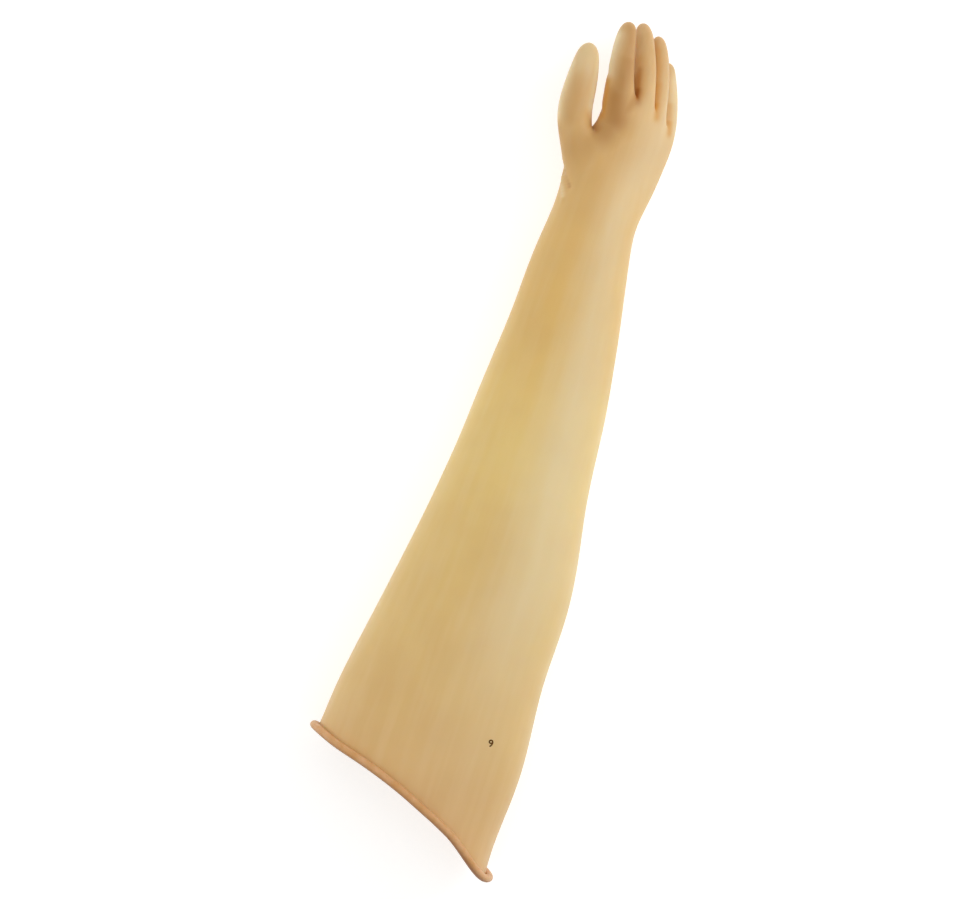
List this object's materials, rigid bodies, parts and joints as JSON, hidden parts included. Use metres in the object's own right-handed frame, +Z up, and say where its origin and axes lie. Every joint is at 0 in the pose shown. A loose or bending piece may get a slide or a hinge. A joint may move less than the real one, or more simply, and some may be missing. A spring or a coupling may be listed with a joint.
{
  "type": "rubber gauntlet glove",
  "caption": "Shoulder-length natural-rubber gauntlet glove for the right hand, a hollow dipped shell with a slanted open cuff and a rolled rim, lying on its palm side.",
  "frame": {"origin": "under the middle of the glove's bounding box, on the surface that it lies on", "axes": "+Y along the glove towards the fingertips, +X towards the little-finger side, +Z up out of the back of the hand's side"},
  "size_m": [0.2194, 0.8512, 0.1159],
  "materials": {
    "natural_rubber": "dipped natural rubber, unpigmented amber, satin, slightly see-through",
    "rim_rubber": "rolled natural rubber, pinkish brown, satin"
  },
  "bodies": {
    "root": {"glove_shell": "natural_rubber", "rolled_rim": "rim_rubber"}
  },
  "joints": []
}
